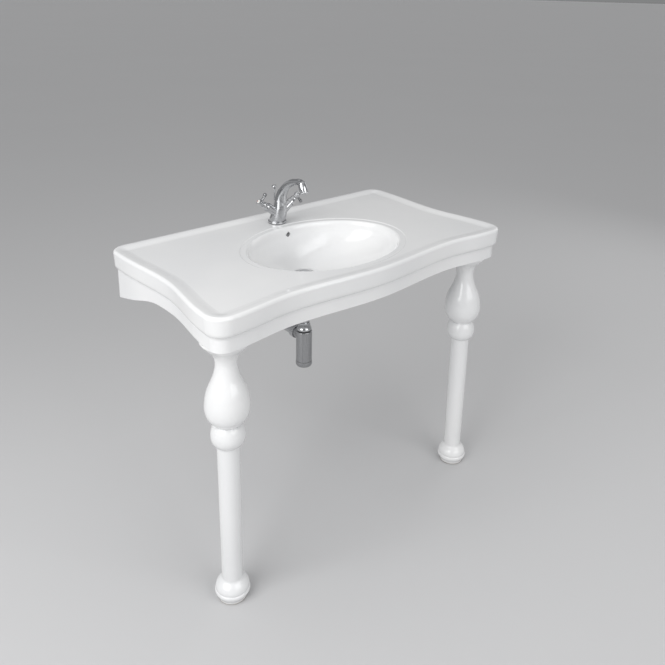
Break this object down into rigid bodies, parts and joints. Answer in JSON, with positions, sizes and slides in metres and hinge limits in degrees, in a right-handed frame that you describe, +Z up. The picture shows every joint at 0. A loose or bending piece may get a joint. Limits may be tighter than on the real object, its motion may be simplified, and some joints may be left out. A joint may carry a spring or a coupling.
{
  "type": "console sink with legs",
  "caption": "White ceramic console basin with serpentine rim on turned front legs, with cross-handle tap, pop-up waste and bottle trap.",
  "frame": {"origin": "middle of the floor print: centre of the overall box at floor level", "axes": "+Z up, -Y towards the user, +Y into the wall, +X to the user's right"},
  "size_m": [1.04, 0.64, 1.0094],
  "materials": {
    "white_glaze": "gloss vitreous glaze",
    "chrome": "polished plate",
    "satin_chrome": "satin plate, fine vertical brushing",
    "brass": "machined",
    "zinc_steel": "bright zinc plate",
    "black_rubber": "moulded",
    "grey_rubber": "moulded",
    "clear_seal": "soft sealing ring",
    "white_plastic": "moulded",
    "grey_plastic": "moulded mesh insert",
    "hardwood": "turned beech",
    "index_red": "domed cap",
    "index_blue": "domed cap"
  },
  "bodies": {
    "root": {"basin": "white_glaze", "leg_left": "white_glaze", "leg_right": "white_glaze", "leg_top_dowels": "hardwood", "leg_top_seals": "clear_seal", "leg_floor_pads": "grey_rubber", "wall_studs": "zinc_steel", "wall_stud_sleeves": "white_plastic", "wall_washers": "zinc_steel", "wall_nuts": "zinc_steel", "tap_body": "chrome", "tap_gasket": "black_rubber", "tap_stud": "brass", "tap_horseshoe_seal": "black_rubber", "tap_horseshoe_plate": "zinc_steel", "tap_stud_nut": "brass", "aerator_housing": "chrome", "aerator_insert": "grey_plastic", "pivot_nut": "chrome", "waste_flange": "chrome", "waste_top_seal": "clear_seal", "waste_back_seal": "black_rubber", "waste_back_nut": "brass", "waste_tee": "chrome", "trap_coupling_seal": "black_rubber", "trap_coupling_nut": "chrome", "trap_inlet_tube": "chrome", "trap_collar": "chrome", "trap_collar_seal": "black_rubber", "trap_bottle": "satin_chrome", "trap_cup": "satin_chrome", "trap_cup_seal": "black_rubber", "trap_outlet_nut": "chrome", "trap_outlet_seal": "black_rubber", "trap_outlet_pipe": "chrome", "wall_escutcheon": "chrome", "hot_bonnet": "chrome", "hot_cartridge": "brass", "cold_bonnet": "chrome", "cold_cartridge": "brass"},
    "hot_valve": {"hot_spindle": "brass", "hot_handle": "chrome", "hot_handle_spokes": "chrome", "hot_handle_screw": "zinc_steel", "hot_index_cap": "index_red"},
    "cold_valve": {"cold_spindle": "brass", "cold_handle": "chrome", "cold_handle_spokes": "chrome", "cold_handle_screw": "zinc_steel", "cold_index_cap": "index_blue"},
    "lift": {"lift_rod": "chrome", "lift_knob": "chrome", "linkage_clamp": "brass", "linkage_strap": "zinc_steel", "linkage_screws": "zinc_steel"},
    "lever": {"pivot_rod": "zinc_steel"},
    "popup_plug": {"plug": "chrome", "plug_seal": "black_rubber"}
  },
  "joints": [
    {"name": "hot_handle_turn", "type": "hinge", "parent": "root", "child": "hot_valve", "pos_m": [0, 0.155, 0.874], "axis": [-0.809, 0, 0.5878], "range_deg": [0, 90]},
    {"name": "cold_handle_turn", "type": "hinge", "parent": "root", "child": "cold_valve", "pos_m": [0, 0.155, 0.874], "axis": [0.809, 0, 0.5878], "range_deg": [-90, 0]},
    {"name": "lift_rod_slide", "type": "slide", "parent": "root", "child": "lift", "axis": [0, 0, 1], "range_m": [0, 0.035]},
    {"name": "pivot_rod_tilt", "type": "hinge", "parent": "root", "child": "lever", "pos_m": [0, 0.049, 0.6365], "axis": [1, 0, 0], "range_deg": [-0.3, 14.91]},
    {"name": "plug_slide", "type": "slide", "parent": "root", "child": "popup_plug", "axis": [0, 0, 1], "range_m": [-0.00571, 0.0001]}
  ],
  "couplings": [
    {"joint": "pivot_rod_tilt", "follows": "lift_rod_slide", "rad_per_m": 7.286},
    {"joint": "plug_slide", "follows": "lift_rod_slide", "ratio": -0.16029}
  ]
}
